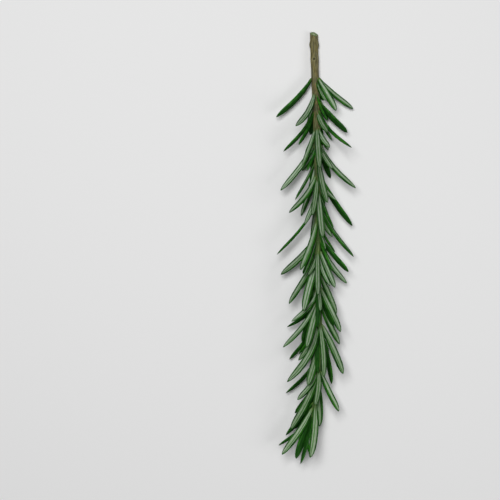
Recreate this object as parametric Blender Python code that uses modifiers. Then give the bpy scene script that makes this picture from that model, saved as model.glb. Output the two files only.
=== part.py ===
"""A cut sprig of rosemary, lying on a flat surface with its tip towards -Y.

Metres, +Z up. The origin is on the surface, under the middle of the sprig.
Two solids: the bare woody end of the stem, and the green stem with its leaves grown onto it.
Sizes are in millimetres up to the point where MM turns them into metres.
"""
import math
import random
from dataclasses import dataclass
from typing import NamedTuple

import bmesh
import bpy
from mathutils import Vector

MM = 0.001
UP = Vector((0.0, 0.0, 1.0))

# Stem: a station is the distance from the cut end, measured towards the tip
AXIS_X = 0.8
CUT_END_Y = 87.3
STEM_ROUTE = (  # station, x, height of the axis above the surface, radius
    (0.0, -1.4, 1.5, 1.65),
    (17.0, -1.0, 3.0, 1.55),
    (45.0, -0.2, 6.2, 1.45),
    (75.0, 0.1, 7.6, 1.3),
    (105.0, 0.0, 7.8, 1.15),
    (119.0, 0.6, 7.7, 1.1),
    (137.0, 0.3, 7.5, 0.95),
    (150.0, -1.1, 7.2, 0.8),
    (162.0, -4.9, 6.6, 0.55),
)
STEM_LENGTH = 162.0
WOOD_ENDS = 16.5
GAP = 0.3  # between the woody end and the green stem
STEM_STEP = 4.0  # between the rings of the green stem
WOOD_STEP = 1.4  # and of the woody end
CUT_STATION = 1.2
CUT_WAY = Vector((0.2, 0.85, 0.5)).normalized()  # the way the slanting cut faces

# Stripped pairs on the woody end: station and azimuth of the first scar of each pair
SCARS = ((5.8, 12.0), (11.8, 98.0))
SWELLING = 0.08  # the stem is this much thicker at a pair
SWELLING_REACH = 1.3
SCAR_HALF_SIZES = (0.95, 0.75, 0.5)  # along the stem, across it and out of it

# Leaves
BLADE_THICK = 0.8
SEGMENTS_ALONG = 4
SEGMENTS_ACROSS = 2
BLADE_ARCH = 0.36  # how far the margins curl down, as a share of half the width
ROOT_NARROW = 0.42  # width at the root, as a share of the greatest
WIDE_FROM = 0.4  # along the leaf, where it is widest from
WIDE_TO = 0.66  # and to
ROOT_SUNK = 0.55  # a root starts at this share of the stem's radius
CONTROL_SHARE = 0.42  # of its length that a leaf keeps its first direction for
TIP_DEPTH = 1.0  # a tip aims at most this far below the surface, and presses on it
SOFT_HEIGHT = 1.2  # below this height a blade flattens against the surface
LOWEST_MIDDLE = 0.1  # the middle of a blade that presses on the surface, before it is cut flat there

# Pairs of leaves, by rule
FIRST_NODE = 19.0
LAST_NODE = 157.0
INTERNODE_OLD = 6.6
INTERNODE_YOUNG = 3.6
SEEN_FROM = 92.0  # past this station the leaves on top are the ones listed below
UNDERSIDE = -0.45  # and the rule only fills in below this sine of the azimuth
SEED = 11
DRAWS = 12  # tries for each leaf, of which the roomiest is kept
REACH = 40.0  # leaves rooted further off than this never meet
LEAST_ROOM = 0.9
AXIL_SHARE = 0.75
AXIL_ANGLE = 34.0  # between a short leaf and the pair's leaf beside it
WIDTHS = (2.3, 2.9)
AXIL_WIDTHS = (1.8, 2.3)
TURNS = (-0.9, 1.5)  # a leaf's underside is turned up by a share between these

# Tuft of young leaves round the tip bud
TUFT_LEAVES = 6
TUFT_STATION = 160.5
TUFT_WIDTH = 1.7
TUFT_FIRST_AZIMUTH = 170.0
TUFT_AZIMUTH_STEP = 40.0


class Seen(NamedTuple):
    """A leaf that the photo shows: where its tip is from its root, and how far its middle bows right, in mm."""

    station: float
    right: float
    up: float
    ahead: float
    width: float
    turn: float
    shift: float


SEEN_LEAVES = (
    # beside the hidden half, on the right
    Seen(19.4, 7.4, 5.0, 13.8, 3.0, 0.9, -0.3),
    Seen(29.0, 11.8, 1.0, 12.6, 2.5, -0.8, -0.6),
    Seen(84.0, 11.4, 1.5, 13.6, 2.3, -0.7, -0.6),
    Seen(89.0, 6.0, 4.5, 14.8, 2.5, 1.0, -0.2),
    # from the first seen pair to the long leaf on the left
    Seen(92.0, -10.9, 0.5, 18.4, 2.5, 1.2, 0.6),
    Seen(93.6, -5.6, 8.0, 19.4, 3.0, 1.2, -0.2),
    Seen(98.4, 6.6, 2.0, 16.0, 2.6, 1.0, 0.2),
    Seen(104.8, -10.1, 4.5, 12.5, 2.1, 0.7, 2.7),
    Seen(108.0, -11.8, -3.0, 11.8, 1.6, -0.9, 3.6),
    Seen(109.6, -13.6, 3.5, 18.0, 2.2, 0.9, 1.7),
    Seen(110.4, -4.7, 8.5, 17.0, 3.0, 0.9, 0.2),
    Seen(100.8, -0.4, 5.0, 18.8, 2.1, -3.0, 0.1),
    Seen(103.2, 0.7, 6.5, 9.8, 1.8, 0.3, 0.1),
    Seen(103.2, 8.2, 6.0, 18.2, 2.9, 0.9, -0.1),
    Seen(104.8, 5.6, 1.0, 14.6, 2.6, -0.8, -0.9),
    Seen(108.0, 7.9, 1.5, 18.6, 2.9, 0.8, -1.2),
    Seen(108.0, -5.6, -1.5, 17.9, 2.8, -0.5, 0.3),
    # from there to the bend of the stem
    Seen(118.4, 8.7, 4.0, 19.8, 3.0, 0.8, 0.0),
    Seen(117.6, -12.6, 7.5, 23.5, 2.8, 0.9, 3.2),
    Seen(118.0, 1.3, 7.5, 21.1, 2.5, 0.4, 0.4),
    Seen(115.2, -7.7, 0.5, 17.8, 2.4, 1.0, 2.2),
    Seen(118.4, -11.3, -5.0, 14.6, 1.7, -0.7, 0.6),
    Seen(120.8, -0.6, 2.5, 17.1, 2.0, -3.0, -0.3),
    Seen(122.4, 4.3, -1.0, 20.2, 2.3, -0.9, 0.2),
    Seen(126.8, -4.2, 2.5, 16.1, 3.0, 1.3, 0.2),
    Seen(128.8, -12.8, -4.8, 17.9, 1.8, -0.9, 3.1),
    # from the bend to the tip
    Seen(138.4, -8.0, 2.5, 10.3, 2.3, 0.8, 0.9),
    Seen(136.8, -1.6, 7.5, 13.6, 2.5, 0.5, 0.5),
    Seen(137.2, 7.4, 2.5, 16.1, 3.1, 0.35, -0.6),
    Seen(140.0, -10.7, 4.0, 20.4, 2.9, 0.9, 0.9),
    Seen(143.2, -8.5, -3.0, 11.5, 1.9, -0.6, 0.3),
    Seen(144.8, -12.0, -2.5, 18.7, 2.6, -0.8, 2.2),
    Seen(142.4, 0.4, -2.0, 17.4, 2.2, -0.9, 0.5),
    Seen(145.6, 0.4, 1.5, 13.6, 2.0, 1.5, 0.3),
    Seen(150.4, -2.3, 5.5, 20.9, 3.1, 1.6, 0.6),
    Seen(150.0, -7.4, -0.5, 10.5, 2.2, -0.9, 0.2),
    Seen(152.0, -12.5, 3.0, 18.6, 2.7, 0.9, 0.9),
    Seen(156.4, -12.4, -2.0, 11.2, 1.6, -0.9, 2.0),
    Seen(153.6, -6.6, 1.5, 18.7, 2.8, -1.6, 0.1),
    Seen(154.4, -4.9, 1.0, 19.9, 1.8, -1.6, 0.4),
)


@dataclass
class Leaf:
    """One leaf: a curve from root to tip, and the way its upper side looks."""

    root: Vector
    control: Vector
    tip: Vector
    inward: Vector
    width: float

    def middle(self, t):
        """Point of the midrib at t, from 0 at the root to 1 at the tip."""
        return (1 - t) ** 2 * self.root + 2 * t * (1 - t) * self.control + t * t * self.tip

    def heading(self, t):
        """Direction of the midrib at t."""
        return ((1 - t) * (self.control - self.root) + t * (self.tip - self.control)).normalized()

    def frame(self, t):
        """The directions along the blade, across it and out of its upper side at t."""
        along = self.heading(t)
        above = (self.inward - self.inward.dot(along) * along).normalized()
        return along, along.cross(above), above


def route(station):
    """x, height and radius of the stem at a station, on a smooth curve through STEM_ROUTE."""
    index = 0
    while index < len(STEM_ROUTE) - 2 and station > STEM_ROUTE[index + 1][0]:
        index += 1
    before = STEM_ROUTE[max(index - 1, 0)]
    start = STEM_ROUTE[index]
    end = STEM_ROUTE[index + 1]
    after = STEM_ROUTE[min(index + 2, len(STEM_ROUTE) - 1)]
    span = end[0] - start[0]
    t = (station - start[0]) / span
    values = []
    for column in (1, 2, 3):
        slope_in = (end[column] - before[column]) / (end[0] - before[0]) * span
        slope_out = (after[column] - start[column]) / (after[0] - start[0]) * span
        rise = end[column] - start[column]
        bend = slope_in - rise
        unbend = rise - slope_out
        value = start[column] + t * rise + t * (1 - t) * ((1 - t) * bend + t * unbend)
        values.append(value)
    return values


def stem_point(station):
    """A point of the stem's axis."""
    x, height, _ = route(station)
    return Vector((AXIS_X + x, CUT_END_Y - station, height)) * MM


def stem_radius(station):
    """Radius of the stem, in metres, with the swellings at the stripped pairs."""
    swelling = sum(math.exp(-(((station - scar[0]) / SWELLING_REACH) ** 2)) for scar in SCARS)
    return route(station)[2] * (1 + SWELLING * swelling) * MM


def stem_heading(station):
    """Direction of the stem towards its tip."""
    return (stem_point(station + 1.0) - stem_point(station - 1.0)).normalized()


def outward(station, azimuth):
    """Direction out of the stem: azimuth 0 is to the right (+X), and 90 degrees is up."""
    heading = stem_heading(station)
    right = UP.cross(heading).normalized()
    top = heading.cross(right)
    return math.cos(azimuth) * right + math.sin(azimuth) * top


def half_width(t):
    """Half of a leaf's width at t, as a share of its greatest."""
    base = ROOT_NARROW + (1 - ROOT_NARROW) * min(t / WIDE_FROM, 1.0) ** 0.8
    end = (1 - max((t - WIDE_TO) / (1 - WIDE_TO), 0.0) ** 3) ** 0.65
    return base * end


def even_share(t):
    """Moves a row of the blade towards the tip, where the outline turns fastest."""
    return 1 - (1 - t) ** 1.3


def make_leaf(station, chord, width, turn, bow):
    """A leaf from its station and the way from its root to its tip.

    turn says how far its underside is turned up, and bow how closely it follows the stem at first.
    """
    heading = stem_heading(station)
    side = (chord - chord.dot(heading) * heading).normalized()
    root = stem_point(station) + side * ROOT_SUNK * stem_radius(station)
    length = chord.length
    lowest = -TIP_DEPTH * MM - root.z
    if chord.z < lowest:
        flat = Vector((chord.x, chord.y, 0.0)).normalized()
        chord = flat * math.sqrt(max(length**2 - lowest**2, 0.0)) + UP * lowest
    start = (chord.normalized().lerp(heading, bow)).normalized()
    control = root + start * CONTROL_SHARE * length
    inward = (-side - turn * UP).normalized()
    return Leaf(root, control, root + chord, inward, width)


def on_surface(point):
    """The point, lifted so that what would reach below the surface lies along it."""
    soft = SOFT_HEIGHT * MM
    lowest = LOWEST_MIDDLE * MM
    if point.z < soft:
        height = lowest + (soft - lowest) * math.exp((point.z - soft) / (soft - lowest))
        return Vector((point.x, point.y, height))
    return point


def seen_leaf(seen):
    """A listed leaf."""
    chord = Vector((seen.right, -seen.ahead, seen.up)) * MM
    leaf = make_leaf(seen.station, chord, seen.width * MM, seen.turn, 0.0)
    leaf.control = (leaf.root + leaf.tip) / 2 + Vector((2 * seen.shift * MM, 0.0, 0.0))
    return leaf


def ruled_leaf(draw, station, azimuth, spread, length, width):
    """A leaf that stands off the stem by the angle spread, with small seeded differences."""
    azimuth += math.radians(draw.uniform(-16, 16))
    spread += math.radians(draw.uniform(-7, 7))
    length *= draw.uniform(0.88, 1.12)
    bow = draw.uniform(0.3, 0.8)
    turn = draw.uniform(*TURNS)
    way = math.cos(spread) * stem_heading(station) + math.sin(spread) * outward(station, azimuth)
    return make_leaf(station, way * length * MM, width * MM, turn, bow)


def room_round(leaf, others):
    """Distance from the outer part of a leaf to the nearest other leaf."""
    nearest = 1.0
    for t in (0.4, 0.6, 0.8, 1.0):
        point = leaf.middle(t)
        for other in others:
            for u in (0.3, 0.5, 0.7, 0.85, 1.0):
                nearest = min(nearest, (point - other.middle(u)).length)
    return nearest


def grow(draw, leaves, *rule):
    """Adds the one of a few drawn leaves that keeps furthest from the others, if it has room."""
    near = [other for other in leaves if (other.root - stem_point(rule[0])).length < REACH * MM]
    choices = [ruled_leaf(draw, *rule) for _ in range(DRAWS)]
    room, best = max(((room_round(leaf, near), leaf) for leaf in choices), key=lambda pair: pair[0])
    if room > LEAST_ROOM * MM:
        leaves.append(best)


def node_stations(draw):
    """Stations of the pairs, closer together towards the tip."""
    stations = []
    station = FIRST_NODE
    while station < LAST_NODE:
        stations.append(station)
        share = (station - FIRST_NODE) / (LAST_NODE - FIRST_NODE)
        gap = INTERNODE_OLD + (INTERNODE_YOUNG - INTERNODE_OLD) * share**2
        station += gap * draw.uniform(0.92, 1.08)
    return stations


def has_place(station, azimuth):
    """Whether the rule places a leaf here, or the listed leaves already fill the place."""
    return station < SEEN_FROM or math.sin(azimuth) < UNDERSIDE


def all_leaves():
    """The listed leaves, then by rule the pairs, the short leaves in their axils and the tip's tuft."""
    draw = random.Random(SEED)
    leaves = [seen_leaf(seen) for seen in SEEN_LEAVES]
    for index, station in enumerate(node_stations(draw)):
        share = station / STEM_LENGTH
        phase = math.radians(90 * (index % 2) + 20 * math.sin(0.9 * index) + draw.uniform(-9, 9))
        length = 17.5 + 5.5 * math.sin(math.pi * min(share * 1.25, 1.0)) - 5.0 * share**4
        spread = math.radians(42 - 8 * share)
        for azimuth in (phase, phase + math.pi):
            if has_place(station, azimuth):
                grow(draw, leaves, station, azimuth, spread, length, draw.uniform(*WIDTHS))
            for side in (-1, 1):
                axil = azimuth + side * math.radians(AXIL_ANGLE)
                short = length * draw.uniform(0.45, 0.75)
                tight = spread * draw.uniform(0.6, 0.85)
                if draw.random() < AXIL_SHARE and has_place(station, axil):
                    grow(draw, leaves, station + 1.0, axil, tight, short, draw.uniform(*AXIL_WIDTHS))
    for index in range(TUFT_LEAVES):
        azimuth = math.radians(TUFT_FIRST_AZIMUTH + TUFT_AZIMUTH_STEP * index)
        spread = math.radians(8 + 2.5 * index)
        leaves.append(ruled_leaf(draw, TUFT_STATION, azimuth, spread, 5 + index, TUFT_WIDTH))
    return leaves


def new_object(name, mesh, collection):
    """An object that holds a mesh, in a collection."""
    made = bpy.data.objects.new(name, mesh)
    collection.objects.link(made)
    return made


def blade(leaf, number, collection):
    """A leaf as a thin arched blade: a sheet with a wall of its own thickness."""
    bm = bmesh.new()
    bmesh.ops.create_grid(bm, x_segments=SEGMENTS_ACROSS, y_segments=SEGMENTS_ALONG, size=1.0)
    for vertex in bm.verts:
        across = vertex.co.x
        t = even_share((vertex.co.y + 1) / 2)
        _, side, above = leaf.frame(t)
        half = half_width(t) * leaf.width / 2
        drop = BLADE_ARCH * half * across**2
        vertex.co = on_surface(leaf.middle(t) + side * half * across - above * drop)
    bmesh.ops.remove_doubles(bm, verts=bm.verts, dist=0.01 * MM)
    bmesh.ops.triangulate(bm, faces=bm.faces)
    bmesh.ops.recalc_face_normals(bm, faces=bm.faces)
    mesh = bpy.data.meshes.new(f"leaf_{number}")
    bm.to_mesh(mesh)
    bm.free()
    made = new_object(f"leaf_{number}", mesh, collection)
    wall = made.modifiers.new("wall", "SOLIDIFY")
    wall.thickness = BLADE_THICK * MM
    wall.offset = 0.0
    return made


def scar(station, azimuth, collection):
    """The raised scar of a stripped leaf."""
    bm = bmesh.new()
    bmesh.ops.create_uvsphere(bm, u_segments=8, v_segments=6, radius=1.0)
    along = stem_heading(station)
    out = outward(station, azimuth)
    centre = stem_point(station) + out * stem_radius(station)
    axes = (along, out.cross(along), out)
    for vertex in bm.verts:
        local = vertex.co.copy()
        vertex.co = centre
        for axis, size, share in zip(axes, SCAR_HALF_SIZES, local):
            vertex.co += axis * size * share * MM
    mesh = bpy.data.meshes.new("scar")
    bm.to_mesh(mesh)
    bm.free()
    new_object("scar", mesh, collection)


def tube(name, first, last, step, collection):
    """The stem between two stations, as a capped tapering tube."""
    curve = bpy.data.curves.new(name, "CURVE")
    curve.dimensions = "3D"
    curve.bevel_depth = 1.0
    curve.bevel_resolution = 2
    curve.use_fill_caps = True
    count = round((last - first) / step) + 1
    spline = curve.splines.new("POLY")
    spline.points.add(count - 1)
    for index, point in enumerate(spline.points):
        station = first + (last - first) * index / (count - 1)
        point.co = (*stem_point(station), 1.0)
        point.radius = stem_radius(station)
    route_object = new_object(name + "_route", curve, collection)
    bpy.context.view_layer.update()
    depsgraph = bpy.context.evaluated_depsgraph_get()
    mesh = bpy.data.meshes.new_from_object(route_object.evaluated_get(depsgraph))
    made = new_object(name, mesh, collection)
    made.matrix_world = route_object.matrix_world
    bpy.data.objects.remove(route_object)
    bm = bmesh.new()
    bm.from_mesh(mesh)
    bmesh.ops.remove_doubles(bm, verts=bm.verts, dist=0.01 * MM)
    bmesh.ops.recalc_face_normals(bm, faces=bm.faces)
    bm.to_mesh(mesh)
    bm.free()
    return made


def cut_away(thing, point, normal):
    """Cuts a solid flat along a plane, and keeps the side that the normal points away from."""
    bm = bmesh.new()
    bm.from_mesh(thing.data)
    everything = bm.verts[:] + bm.edges[:] + bm.faces[:]
    bmesh.ops.bisect_plane(
        bm, geom=everything, dist=0.001 * MM, plane_co=point, plane_no=normal, clear_outer=True
    )
    rim = [edge for edge in bm.edges if edge.is_boundary]
    bmesh.ops.holes_fill(bm, edges=rim, sides=0)
    bmesh.ops.recalc_face_normals(bm, faces=bm.faces)
    bm.to_mesh(thing.data)
    bm.free()


def grow_together(stem, growths):
    """Joins everything in a collection to the stem in one body, and removes the collection."""
    join = stem.modifiers.new("growths", "BOOLEAN")
    join.operation = "UNION"
    join.operand_type = "COLLECTION"
    join.collection = growths
    bpy.context.view_layer.update()
    depsgraph = bpy.context.evaluated_depsgraph_get()
    mesh = bpy.data.meshes.new_from_object(stem.evaluated_get(depsgraph))
    stem.modifiers.clear()
    stem.data = mesh
    for thing in list(growths.objects):
        bpy.data.objects.remove(thing)
    bpy.data.collections.remove(growths)
    keep_largest_body(stem)


def keep_largest_body(thing):
    """Fills the small hollows that leaves seal between them, and drops loose scraps."""
    bm = bmesh.new()
    bm.from_mesh(thing.data)
    left = set(bm.verts)
    bodies = []
    while left:
        reached = {left.pop()}
        edge_of_body = list(reached)
        while edge_of_body:
            vertex = edge_of_body.pop()
            for edge in vertex.link_edges:
                other = edge.other_vert(vertex)
                if other in left:
                    left.remove(other)
                    reached.add(other)
                    edge_of_body.append(other)
        bodies.append(reached)
    bodies.sort(key=len)
    for body in bodies[:-1]:
        bmesh.ops.delete(bm, geom=list(body), context="VERTS")
    bm.to_mesh(thing.data)
    bm.free()


def finish(thing, colour, roughness):
    """Gives an object its own material."""
    material = bpy.data.materials.new(thing.name)
    material.use_nodes = True
    shader = material.node_tree.nodes["Principled BSDF"]
    shader.inputs["Base Color"].default_value = (*colour, 1.0)
    shader.inputs["Roughness"].default_value = roughness
    thing.data.materials.clear()
    thing.data.materials.append(material)


def new_collection(name):
    """An empty collection in the scene."""
    made = bpy.data.collections.new(name)
    bpy.context.scene.collection.children.link(made)
    return made


def woody_stem(collection):
    """The bare brown end of the stem, with its slanting cut and the scars of its stripped leaves."""
    wood = tube("woody_stem", 0.0, WOOD_ENDS - GAP / 2, WOOD_STEP, collection)
    scars = new_collection("scars")
    for station, azimuth in SCARS:
        scar(station, math.radians(azimuth), scars)
        scar(station, math.radians(azimuth + 180), scars)
    grow_together(wood, scars)
    cut_away(wood, stem_point(CUT_STATION), CUT_WAY)
    cut_away(wood, Vector(), -UP)
    finish(wood, (0.18, 0.14, 0.06), 0.7)


def leafy_stem(collection):
    """The green stem with all its leaves."""
    stem = tube("leafy_stem", WOOD_ENDS + GAP / 2, STEM_LENGTH, STEM_STEP, collection)
    blades = new_collection("blades")
    for number, leaf in enumerate(all_leaves()):
        blade(leaf, number, blades)
    grow_together(stem, blades)
    cut_away(stem, Vector(), -UP)
    finish(stem, (0.09, 0.2, 0.06), 0.55)


def main():
    """Builds the sprig."""
    for thing in list(bpy.data.objects):
        bpy.data.objects.remove(thing)
    sprig = new_collection("rosemary_sprig")
    woody_stem(sprig)
    leafy_stem(sprig)


main()
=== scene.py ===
"""A cut sprig of rosemary, laid on a pale table and seen from straight above.

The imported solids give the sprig's place and size. Here the stem, the cut end and every leaf are modelled
finely and given their finishes. Sizes are in millimetres up to the point where MM turns them into metres.
A station is the distance from the cut end, measured towards the tip.
"""
from __future__ import annotations

import logging
import math
import random
from collections.abc import Callable, Iterable
from dataclasses import dataclass, field
from enum import Enum
from typing import NamedTuple

import bmesh
import bpy
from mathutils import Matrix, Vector


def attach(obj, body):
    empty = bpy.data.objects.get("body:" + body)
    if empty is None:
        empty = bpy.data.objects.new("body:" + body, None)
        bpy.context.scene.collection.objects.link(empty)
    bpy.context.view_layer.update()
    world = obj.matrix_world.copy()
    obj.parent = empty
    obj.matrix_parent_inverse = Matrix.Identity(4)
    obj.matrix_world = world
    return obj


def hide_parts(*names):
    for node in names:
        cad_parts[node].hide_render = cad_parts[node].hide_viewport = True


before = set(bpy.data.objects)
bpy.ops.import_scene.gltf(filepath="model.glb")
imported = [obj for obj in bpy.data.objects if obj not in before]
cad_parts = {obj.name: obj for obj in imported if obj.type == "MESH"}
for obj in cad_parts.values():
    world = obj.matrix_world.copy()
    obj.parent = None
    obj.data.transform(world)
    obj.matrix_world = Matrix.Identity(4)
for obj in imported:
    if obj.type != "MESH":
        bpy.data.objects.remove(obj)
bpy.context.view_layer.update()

log = logging.getLogger("rosemary_sprig")

MM = 0.001
UP = Vector((0.0, 0.0, 1.0))
BODY = "root"
SMOOTH_ANGLE = math.radians(50)
Colour = tuple[float, float, float]
Span = tuple[float, float]


@dataclass(frozen=True)
class Signal:
    """A number, colour or vector that changes over a surface, as the output of a node."""

    sheet: NodeSheet
    socket: bpy.types.NodeSocket

    def __add__(self, other: Signal | float) -> Signal:
        """Sum."""
        return self.sheet.math("ADD", self, other)

    def __radd__(self, other: float) -> Signal:
        """Sum, with the number first."""
        return self.sheet.math("ADD", other, self)

    def __sub__(self, other: Signal | float) -> Signal:
        """Difference."""
        return self.sheet.math("SUBTRACT", self, other)

    def __rsub__(self, other: float) -> Signal:
        """Difference, with the number first."""
        return self.sheet.math("SUBTRACT", other, self)

    def __mul__(self, other: Signal | float) -> Signal:
        """Product."""
        return self.sheet.math("MULTIPLY", self, other)

    def __rmul__(self, other: float) -> Signal:
        """Product, with the number first."""
        return self.sheet.math("MULTIPLY", other, self)

    def __abs__(self) -> Signal:
        """Size without the sign."""
        return self.sheet.math("ABSOLUTE", self)


class NodeSheet:
    """The nodes of one material."""

    def __init__(self, name: str) -> None:
        """Makes an empty material.

        Args:
            name: The material's name.
        """
        self.material = bpy.data.materials.new(name)
        self.material.use_nodes = True
        self.tree = self.material.node_tree
        self.shader = self.tree.nodes["Principled BSDF"]

    def node(
        self,
        kind: str,
        settings: dict[str, object] | None = None,
        inputs: dict[int | str, object] | None = None,
    ) -> bpy.types.Node:
        """Adds a node.

        Args:
            kind: The node's type.
            settings: Its settings by name, set before its sockets.
            inputs: The values or signals of its sockets.

        Returns:
            The node.
        """
        made = self.tree.nodes.new(kind)
        for name, value in (settings or {}).items():
            setattr(made, name, value)
        for key, value in (inputs or {}).items():
            self.feed(made.inputs[key], value)
        return made

    def feed(self, socket: bpy.types.NodeSocket, value: object) -> None:
        """Gives a socket a signal or a constant.

        Args:
            socket: The socket.
            value: A signal, a number, or a colour or vector of three numbers.
        """
        if isinstance(value, Signal):
            self.tree.links.new(value.socket, socket)
        elif isinstance(value, tuple) and socket.type == "RGBA":
            socket.default_value = (*value, 1.0)
        else:
            socket.default_value = value

    def math(self, operation: str, first: Signal | float, second: Signal | float = 0.0) -> Signal:
        """A sum on one or two numbers, by the Math node's operation."""
        made = self.node("ShaderNodeMath", {"operation": operation}, {0: first, 1: second})
        return Signal(self, made.outputs[0])

    def smooth(self, value: Signal, low: float, high: float) -> Signal:
        """A soft step of a number, from 0 at low up to 1 at high."""
        made = self.node(
            "ShaderNodeMapRange",
            {"interpolation_type": "SMOOTHSTEP"},
            {"Value": value, "From Min": low, "From Max": high},
        )
        return Signal(self, made.outputs["Result"])

    def mix(
        self,
        share: Signal | float,
        first: Signal | Colour,
        second: Signal | Colour,
        blend: str = "MIX",
    ) -> Signal:
        """A mix of two colours by a Mix node's blending, with share as how much of the second shows."""
        made = self.node(
            "ShaderNodeMix",
            {"data_type": "RGBA", "blend_type": blend, "clamp_factor": True},
            {0: share, 6: first, 7: second},
        )
        return Signal(self, made.outputs[2])

    def parts(self, name: str) -> tuple[Signal, Signal, Signal]:
        """The three numbers of a vector attribute.

        Args:
            name: The attribute's name.

        Returns:
            Its three numbers.
        """
        source = self.node("ShaderNodeAttribute", {"attribute_name": name})
        split = self.node("ShaderNodeSeparateXYZ", None, {0: Signal(self, source.outputs["Vector"])})
        return tuple(Signal(self, output) for output in split.outputs)

    def vector(self, x: Signal | float, y: Signal | float, z: Signal | float) -> Signal:
        """A vector from three numbers."""
        made = self.node("ShaderNodeCombineXYZ", None, {0: x, 1: y, 2: z})
        return Signal(self, made.outputs[0])

    def noise(self, place: Signal, scale: float, detail: float = 2.0) -> Signal:
        """Soft random patches from about 0.3 to 0.7, as many as scale says for each unit of place."""
        made = self.node("ShaderNodeTexNoise", None, {"Vector": place, "Scale": scale, "Detail": detail})
        return Signal(self, made.outputs["Fac"])

    def object_place(self) -> Signal:
        """The place in the piece's own coordinates, in metres."""
        return Signal(self, self.node("ShaderNodeTexCoord").outputs["Object"])

    def spread(self, place: Signal, x: float, y: float, z: float) -> Signal:
        """A place with each axis scaled by a number."""
        made = self.node("ShaderNodeVectorMath", {"operation": "MULTIPLY"}, {0: place, 1: (x, y, z)})
        return Signal(self, made.outputs[0])

    def dress(self, colour: Signal, roughness: Signal, height: Signal, depth: float) -> bpy.types.Material:
        """Feeds the shader.

        Args:
            colour: The base colour.
            roughness: The roughness.
            height: The height of the fine relief, from 0 to 1.
            depth: The depth of that relief, in metres.

        Returns:
            The material.
        """
        bump = self.node("ShaderNodeBump", None, {"Strength": 1.0, "Distance": depth, "Height": height})
        self.feed(self.shader.inputs["Base Color"], colour)
        self.feed(self.shader.inputs["Roughness"], roughness)
        self.feed(self.shader.inputs["Normal"], Signal(self, bump.outputs[0]))
        return self.material


@dataclass(frozen=True)
class LeafFinish:
    """Leathery leaf: deep glossy green above, and silvery felt with a green rib and rims below.

    Each span says where one colour turns into the next, off the rib, along the leaf or above its middle.
    """

    upper_deep: Colour = (0.004, 0.03, 0.003)
    upper_light: Colour = (0.012, 0.085, 0.005)
    groove: Colour = (0.03, 0.12, 0.015)
    felt_grey: Colour = (0.46, 0.52, 0.45)
    felt_green: Colour = (0.13, 0.25, 0.08)
    rib: Colour = (0.05, 0.16, 0.03)
    rim: Colour = (0.006, 0.06, 0.003)
    rim_light: Colour = (0.03, 0.16, 0.01)
    stalk: Colour = (0.13, 0.22, 0.05)
    young: Colour = (1.15, 1.25, 0.9)
    rib_edge: Span = (0.09, 0.24)
    groove_edge: Span = (0.02, 0.1)
    rim_edge: Span = (0.55, 0.9)
    felt_edge: Span = (0.57, 0.66)
    felt_top: Span = (-0.09, 0.0)
    tip_edge: Span = (0.95, 0.99)
    stalk_edge: Span = (0.02, 0.16)
    upper_roughness: float = 0.42
    felt_roughness: float = 0.9
    gloss: float = 0.08
    relief: float = 0.00012

    def material(self) -> bpy.types.Material:
        """The leaf's material, which reads each blade's own attributes."""
        sheet = NodeSheet("rosemary_leaf")
        across, along, depth = sheet.parts("blade")
        tone, age, seed = sheet.parts("growth")
        off_middle = abs(across)
        place = sheet.vector(across * 1.3, along * 20.0 + seed * 60.0, depth * 1.3)
        streaks = sheet.smooth(sheet.noise(sheet.spread(place, 5.0, 0.55, 5.0), 1.0, 3.0), 0.3, 0.7)
        grain = sheet.noise(sheet.spread(place, 14.0, 9.0, 14.0), 1.0, 3.0)
        patches = sheet.smooth(sheet.noise(sheet.spread(place, 1.2, 0.35, 1.2), 1.0, 2.0), 0.35, 0.65)
        inside = 1.0 - sheet.smooth(off_middle, *self.felt_edge)
        below = inside * (1.0 - sheet.smooth(depth, *self.felt_top))

        rib = 1.0 - sheet.smooth(off_middle, *self.rib_edge)
        felt = sheet.mix(streaks * 0.45 + grain * 0.3 + tone * 0.25, self.felt_green, self.felt_grey)
        felt = sheet.mix(rib * 0.85, felt, self.rib)
        rims = sheet.mix(patches, self.rim, self.rim_light)
        felt = sheet.mix(sheet.smooth(along, *self.tip_edge), felt, rims)

        groove = 1.0 - sheet.smooth(off_middle, *self.groove_edge)
        above = sheet.mix(patches * 0.5 + grain * 0.4, self.upper_deep, self.upper_light)
        above = sheet.mix(groove * 0.5, above, self.groove)
        above = sheet.mix(sheet.smooth(off_middle, *self.rim_edge), above, rims)
        colour = sheet.mix(below, above, felt)

        stalk = 1.0 - sheet.smooth(along, *self.stalk_edge)
        colour = sheet.mix(stalk * 0.7, colour, self.stalk)
        colour = sheet.mix(age, colour, self.young, "MULTIPLY")
        shade = 0.86 + tone * 0.28
        colour = sheet.mix(1.0, colour, sheet.vector(shade, shade, shade), "MULTIPLY")

        sheet.feed(sheet.shader.inputs["Specular IOR Level"], self.gloss)
        roughness = self.upper_roughness + below * (self.felt_roughness - self.upper_roughness)
        height = grain * 0.5 + streaks * 0.5
        return sheet.dress(colour, roughness + grain * 0.08, height, self.relief)


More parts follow.
